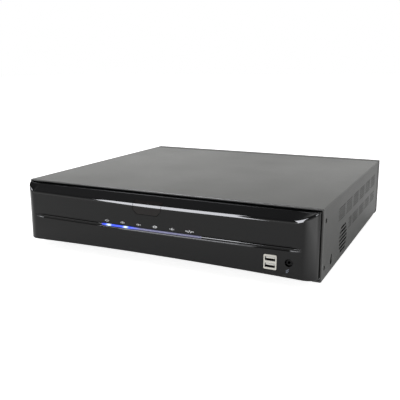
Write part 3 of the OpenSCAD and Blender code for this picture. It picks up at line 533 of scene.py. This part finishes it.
def outer_row(x, y, nx, ny):
    """The moulding's outside at one station, from the bottom's rear edge to the top's."""
    bottom = ARCH_TOP - x * x / (2 * ARCH_R)
    row = [(x + nx * FOOT_R, max(SEAT_Y, y + ny * FOOT_R), bottom)]
    for c, d in around(FOOT_R, (0, 22.5, 45, 67.5, 90)):
        row.append((x + nx * (FOOT_R - d), y + ny * (FOOT_R - d), bottom + FOOT_R - c))
    row.append((x, y, bottom + 14))
    fade = smooth_step((GROOVE_END - abs(x)) / GROOVE_FADE) * (1.0 if abs(ny) > 0.3 else 0.0)
    tall = 0.2 + 0.8 * math.sqrt(fade)
    row += [(x + nx * d * fade, y + ny * d * fade, BAR_Z + z * tall) for d, z in GROOVE]
    edge, back = edge_z(x), max(SEAT_Y - y, 0.5)
    turn = math.pi / 2 - math.atan2(BEZEL_TOP - edge, back)
    sharp = SHARP_LEFT if x < 0 else SHARP_RIGHT
    r = NOSE_R * (sharp + (1 - sharp) * smooth_step(max(ny, 0.0)))
    t = min(r * math.tan(turn / 2), back * 0.8)
    r = t / math.tan(turn / 2)
    row.append((x, y, (BAR_Z + GROOVE_TOP + edge - t) / 2))
    for i in range(NOSE_STEPS + 1):
        a = math.pi - turn * i / NOSE_STEPS
        row.append((x, y + r + r * math.cos(a), min(edge - t + r * math.sin(a), BEZEL_TOP)))
    return row + band(*row[-1])


# Behind the groove the wall steps back by a share of the depth, at heights over the bar's middle
POCKET_DEPTH, POCKET_FADE = 2.6, 6.0
POCKET = ((0, 7), (1, 5.6), (1, -4.6), (0, -6))


def inner_row(x, y, nx, ny):
    """The moulding's inside at one station, from the top's rear edge back to the bottom's."""
    bottom = ARCH_TOP - x * x / (2 * ARCH_R) + WALL
    lift = WALL / math.cos(SLOPE)
    edge = edge_z(x) - lift
    row = [(a, b, min(c, BEZEL_TOP - lift)) for a, b, c in band(x, min(y, SEAT_Y - 1), edge)[:2:-1]]
    row.append((x, y, edge))
    deep = POCKET_DEPTH * smooth_step((GROOVE_END - abs(x)) / POCKET_FADE) * (1.0 if ny > 0.9 else 0.0)
    for share, z in POCKET:
        row.append((x + nx * deep * share, y + ny * deep * share, BAR_Z + z))
    return row + [(x, y, bottom), (x, max(SEAT_Y, y), bottom)]


def moulding(inset, wall, reach=math.inf):
    """The moulding's body, or only what lies within reach of the display's middle."""
    pairs = [(outer, inner) for outer, inner in zip(stations(inset), stations(inset + wall))
             if abs(outer[0] - DISPLAY_X) < reach]
    return grid("moulding", [outer_row(*outer) + inner_row(*inner) for outer, inner in pairs])


def window_loop(gap):
    """The receiver window over the nose, narrower at its foot."""
    x, foot_x = WINDOW_W / 2 - gap, WINDOW_W / 2 - gap - 6
    top, shoulder, foot = NOSE_Z + 4, NOSE_Z - 7, NOSE_Z - 13 + gap
    loop = ((-x, top), (x, top), (x, shoulder), (foot_x, foot), (-foot_x, foot), (-x, shoulder))
    return [(DISPLAY_X + a, b) for a, b in loop]


BEHIND_FACE = -6.0                      # openings for bar and sockets run back to here
WINDOW_BACK, GLASS_BACK = -8.6, -9.4
GLASS_INSET, GLASS_T, GLASS_REACH = 0.10, 1.7, 40
USB_OPENING, JACK_R = (16.6, 18.6), 4.7
ahead = FRONT_Y - 2
bezel = boolean(moulding(0, WALL), [
    prism(rect_2d((BAR_X, BAR_Z), BAR_W + 0.3, 2.7), ahead, BEHIND_FACE),
    prism(window_loop(0), ahead, WINDOW_BACK),
    prism(rect_2d(USB, *USB_OPENING, 2.0, 8), ahead, BEHIND_FACE),
    prism(ring_2d(JACK, JACK_R, 48), ahead, BEHIND_FACE),
])
piece("front_moulding", bezel, "bezel_gloss", replaces=["front_bezel"], angle=24)

# The light bar: a convex strip along the ledge in the groove
BAR_STEPS, BAR_HALF, BAR_BACK = 72, 1.25, 5.5
section = [(2.1 - 1.5 * c, BAR_HALF * d) for c, d in around(1, range(-90, 91, 12))]
section += [(BAR_BACK, BAR_HALF), (BAR_BACK, -BAR_HALF)]
rows = []
for i in range(BAR_STEPS + 1):
    x = bar_lo + 0.05 + (BAR_W - 0.1) * i / BAR_STEPS
    rows.append([(x, front_y(x) + d, BAR_Z + z) for d, z in section])
piece("light_strip", grid("light_strip", rows), "light_guide", replaces=["light_bar"])

glass = moulding(GLASS_INSET, GLASS_T, GLASS_REACH)
window = boolean(glass, [prism(window_loop(0.5), ahead, GLASS_BACK)], "INTERSECT")
piece("receiver_window", window, "tinted_window", replaces=["ir_window"], angle=24)

# ---- Printed marks on the front ----

PRINT_T, PRINT_LIFT = 0.05, 0.02


def decal(name, loops):
    """Print on the bowed face: one loop of (x, z) points, and loops inside it for holes and islands."""
    middle = PRINT_LIFT + PRINT_T / 2
    return loop_curve(name, loops, PRINT_T / 2, lambda a, b, c: (a, front_y(a) - middle + c, b))


def bar_2d(a, b, w):
    """A straight stroke from a to b."""
    (ax, az), (bx, bz) = a, b
    n = math.hypot(bx - ax, bz - az)
    ux, uz = (bx - ax) / n * w / 2, (bz - az) / n * w / 2
    return [(ax + uz, az - ux), (bx + uz, bz - ux), (bx - uz, bz + ux), (ax - uz, az + ux)]


def put(loops, at, size=1.0, tilt=0.0):
    """Loops scaled, turned and moved to a place on the face."""
    c, d = size * math.cos(tilt), size * math.sin(tilt)
    return [[(at[0] + a * c - b * d, at[1] + a * d + b * c) for a, b in loop] for loop in loops]


def arc_band(at, r, w, a0, a1, count=20):
    angles = [math.radians(a0 + (a1 - a0) * i / count) for i in range(count + 1)]
    outer = [(at[0] + (r + w / 2) * math.cos(a), at[1] + (r + w / 2) * math.sin(a)) for a in angles]
    inner = [(at[0] + (r - w / 2) * math.cos(a), at[1] + (r - w / 2) * math.sin(a)) for a in reversed(angles)]
    return outer + inner


# One group of loops to a filled shape, then the whole width of the mark with its side strokes
MARKS = [
    ([[arc_band((0, 0), 1.05, 0.34, 125, 415)], [bar_2d((0, 0.25), (0, 1.45), 0.36)]], 9.0),
    ([[ring_2d((0, 0), 1.25, 24), ring_2d((0, 0), 0.95, 24), ring_2d((0, 0), 0.55, 16)]], 5.6),
    ([[[(-0.8, -1.15), (1.2, 0), (-0.8, 1.15)]]], 6.6),
    ([[rect_2d((0, 0), 3.2, 2.3, 0.4), ring_2d((-0.3, 0), 0.8, 20), ring_2d((-0.3, 0), 0.3, 12),
       rect_2d((1.15, -0.6), 0.3, 0.5)]], 6.0),
    ([[[(-1.2, -0.75), (1.2, -0.75), (0.85, -0.3), (0.8, 0.4), (0.45, 0.95), (-0.45, 0.95), (-0.8, 0.4),
        (-0.85, -0.3)]], [ring_2d((0, -1.05), 0.24, 12)], [ring_2d((0, 1.15), 0.18, 10)]], 9.0),
    ([[rect_2d(at, w, h)] for at, w, h in (
        ((0, 0.85), 1.1, 0.8), ((-1.3, -0.85), 1.1, 0.8), ((1.3, -0.85), 1.1, 0.8), ((0, 0), 2.8, 0.24),
        ((0, 0.3), 0.24, 0.4), ((-1.3, -0.3), 0.24, 0.42), ((1.3, -0.3), 0.24, 0.42))], 13.0),
]
MARK_SIZE, MARK_Z, MARK_CORE = 1.35, BAR_Z + 6.2, 2.2
STROKE_PITCH = 1.3
meshes = []
for i, (groups, width) in enumerate(MARKS):
    middle = DISPLAY_X + (i - 2.5) * LAMP_PITCH
    for side_sign in (-1, 1):
        for k in range(max(int((width / 2 - MARK_CORE) / STROKE_PITCH), 1)):
            at = (middle + side_sign * (MARK_CORE + 0.5 + k * STROKE_PITCH), MARK_Z)
            meshes.append(decal("stroke", [rect_2d(at, 0.85, 1.5, 0.2, 3)]))
    meshes += [decal("mark", put(group, (middle, MARK_Z), MARK_SIZE)) for group in groups]
piece("front_marks", joined("front_marks", meshes), "print_pale")

# Small slanted sign of a pointing device under the round jack: outline, wheel and tail
SIGN_AT, SIGN_TILT = (178.7, 14.3), math.radians(-24)
SIGN = [[rect_2d((0, 0), 2.4, 3.8, 1.15, 6), rect_2d((0, 0), 1.9, 3.3, 0.9, 6)],
        [bar_2d((0, 0.2), (0, 1.2), 0.4)], [bar_2d((0, 1.9), (0.6, 3.3), 0.3)]]
meshes = [decal("sign", put(group, SIGN_AT, 1.0, SIGN_TILT)) for group in SIGN]
piece("socket_mark", joined("socket_mark", meshes), "print_grey")

# Each socket's opening gets a black sleeve, painted shade standing for the dark inside the opening, and
# contacts on the underside of its tongue
PORT_Z, PORT_FRONT, CONTACT_PITCH, CONTACT_FRONT = 4.1, -16.8, 2.3, -15.9
SHADE_SLEEVE_OUT, SHADE_SLEEVE_IN, SHADE_SLEEVE_HALF = (12.7, 5.3), (12.3, 4.9), 5.6
shade_sleeves, contacts = [], []
for side_sign in (-1, 1):
    port = (USB[0], USB[1] + side_sign * PORT_Z)
    shade_sleeves.append(loop_curve("shade_sleeve", [rect_2d(port, *SHADE_SLEEVE_OUT), rect_2d(port, *SHADE_SLEEVE_IN)], SHADE_SLEEVE_HALF,
                              lambda a, b, c: (a, c + PORT_FRONT + SHADE_SLEEVE_HALF, b)))
    for i in (-1.5, -0.5, 0.5, 1.5):
        at = (port[0] + i * CONTACT_PITCH, port[1] - 0.05)
        contacts.append(prism(rect_2d(at, 1.0, 0.3), CONTACT_FRONT, BEHIND_FACE))
# The black sleeves are painted shade inside the socket openings.
piece("usb_shade_sleeves", joined("usb_shade_sleeves", shade_sleeves), "black_plastic")
piece("usb_contacts", joined("usb_contacts", contacts), "gold_contact")

# ---- CAD nodes that stay: finishes and softened edges ----

BEVELS = {                              # widths, mm
    "rear_panel": 0.25, "usb_ports": 0.25, "usb_tongues": 0.15, "rubber_feet": 0.6, "mains_inlet": 0.35,
    "switch_frame": 0.3, "power_rocker": 0.4, "lan_port": 0.2, "hdmi_port": 0.2, "terminal_block": 0.25,
    "rear_fan_frame": 0.3, "rear_fan_guard": 0.5, "side_fan_frame": 0.3, "bnc_shells": 0.25,
    "audio_jacks": 0.25, "vga_port": 0.25,
}
# The rack nuts and the jack get darker finishes than their slots give: painted shade, so the ear holes and the
# jack's opening read as dark holes.
DARKENED_FOR_PAINTED_SHADE = {"rack_nuts": "screw_black", "front_jack": "jack_black_painted_shade"}
REPLACED = {"top_cover", "front_bezel", "light_bar", "ir_window"}
for name, o in nodes.items():
    if name in REPLACED:
        continue
    slot = DARKENED_FOR_PAINTED_SHADE.get(name) or o.material_slots[0].material.name.split(".")[0]
    o.material_slots[0].material = MATERIALS[slot]
    if name in BEVELS:
        m = o.modifiers.new("edge", "BEVEL")
        m.width = BEVELS[name] / 1000
        m.segments = 2
        m.limit_method = "ANGLE"
        m.angle_limit = math.radians(40)
        m.harden_normals = True

# ---- Floor, light and camera, in metres ----

floor_corners = [(-9, -9, 0), (9, -9, 0), (9, 12, 0), (-9, 12, 0)]
floor = solid_object("floor", mesh_of("floor", floor_corners, [(0, 1, 2, 3)]))
paper = MATERIALS["floor_paper"].node_tree
shader = paper.nodes["Principled BSDF"]
shader.inputs["Emission Color"].default_value = (1, 1, 1, 1)
path = node(paper, "ShaderNodeLightPath")


def math_node(operation, first, second):
    """A Math node on two sockets, or a socket and a number."""
    n = node(paper, "ShaderNodeMath", operation=operation)
    for socket, value in zip(n.inputs, (first, second)):
        if isinstance(value, float):
            socket.default_value = value
        else:
            paper.links.new(value, socket)
    return n.outputs[0]


# The floor is white to the camera, and mirrored brighter beside the moulding's two corners
place = node(paper, "ShaderNodeSeparateXYZ")
paper.links.new(node(paper, "ShaderNodeTexCoord").outputs["Object"], place.inputs[0])
floor_x, floor_y = place.outputs[0], place.outputs[1]
at_right = math_node("MULTIPLY", mapped(paper, floor_x, 0.0, 1.3, 0.19, 0.42),
                     mapped(paper, floor_y, 0.0, 1.0, -0.06, -0.2))
at_left = math_node("MULTIPLY", mapped(paper, floor_x, 0.0, 0.9, -0.22, -0.42),
                    mapped(paper, floor_y, 0.0, 1.0, -0.32, -0.12))
mirrored = math_node("MULTIPLY", math_node("ADD", at_right, at_left), path.outputs["Is Glossy Ray"])
seen_direct = math_node("MULTIPLY", path.outputs["Is Camera Ray"], 0.85)
paper.links.new(math_node("ADD", mirrored, seen_direct), shader.inputs["Emission Strength"])
floor.data.materials.append(MATERIALS["floor_paper"])

world = bpy.data.worlds.new("studio")
bpy.context.scene.world = world
world.use_nodes = True
tree = world.node_tree
background = tree.nodes["Background"]
where = node(tree, "ShaderNodeTexCoord")
split = node(tree, "ShaderNodeSeparateXYZ")
tree.links.new(where.outputs["Generated"], split.inputs[0])
ramp = node(tree, "ShaderNodeValToRGB")
ramp.color_ramp.elements[0].position, ramp.color_ramp.elements[0].color = 0.30, (1.0, 1.0, 0.985, 1)
ramp.color_ramp.elements[1].position, ramp.color_ramp.elements[1].color = 0.72, (0.16, 0.16, 0.165, 1)
tree.links.new(split.outputs[2], ramp.inputs[0])
seen = node(tree, "ShaderNodeLightPath")
pick = node(tree, "ShaderNodeMix", data_type="RGBA")
colours = [s for s in pick.inputs if s.type == "RGBA"]
colours[1].default_value = (1, 1, 1, 1)
tree.links.new(seen.outputs["Is Camera Ray"], pick.inputs[0])
tree.links.new(ramp.outputs[0], colours[0])
tree.links.new([s for s in pick.outputs if s.type == "RGBA"][0], background.inputs["Color"])


def softbox(name, at, size, radiance, facing, along=(0, 0, 1), colour=(1, 1, 1), glossy=True, diffuse=False):
    """A rectangular light of a given brightness: its height runs along one direction. Metres."""
    data = bpy.data.lights.new(name, "AREA")
    data.shape = "RECTANGLE"
    data.size, data.size_y = size
    data.energy = radiance * math.pi * size[0] * size[1]
    data.color = colour
    o = bpy.data.objects.new(name, data)
    bpy.context.scene.collection.objects.link(o)
    z = -Vector(facing).normalized()
    y = Vector(along)
    y = (y - y.dot(z) * z).normalized()
    o.matrix_world = Matrix.Translation(at) @ Matrix((y.cross(z), y, z)).transposed().to_4x4()
    o.visible_glossy = glossy
    o.visible_diffuse = diffuse
    o.visible_camera = False


softbox("front_highlight", (-0.535, -1.00, 0.72), (0.62, 1.5), 15, facing=(0.0, 0.71, -0.70),
        along=(-0.06, 0.70, 0.71), colour=(0.94, 0.95, 1.0))
softbox("corner_highlight", (1.05, -0.5, 1.15), (0.5, 0.5), 14, facing=(-0.85, 0.3, -1.07),
        colour=(0.95, 0.97, 1.0))
softbox("overhead", (-0.3, -0.3, 2.6), (3.2, 3.2), 1.1, facing=(0.1, 0.1, -1), glossy=False, diffuse=True)

CAMERA_AT, LENS = (0.36687, -0.81787, 0.25782), 52.03
AZIMUTH, ELEVATION, ROLL = (math.radians(a) for a in (26.027, 13.242, -0.272))
right = Vector((math.cos(AZIMUTH), math.sin(AZIMUTH), 0))
level = Vector((-math.sin(AZIMUTH), math.cos(AZIMUTH), 0))
forward = level * math.cos(ELEVATION) - Vector((0, 0, math.sin(ELEVATION)))
up = right.cross(forward)
right, up = right * math.cos(ROLL) + up * math.sin(ROLL), up * math.cos(ROLL) - right * math.sin(ROLL)
camera = bpy.data.objects.new("camera", bpy.data.cameras.new("camera"))
bpy.context.scene.collection.objects.link(camera)
turn = Matrix((right, up, -forward)).transposed().to_4x4()
camera.matrix_world = Matrix.Translation(CAMERA_AT) @ turn
camera.data.sensor_width = 36
camera.data.lens = LENS
bpy.context.scene.camera = camera
bpy.context.scene.view_settings.view_transform = "Standard"
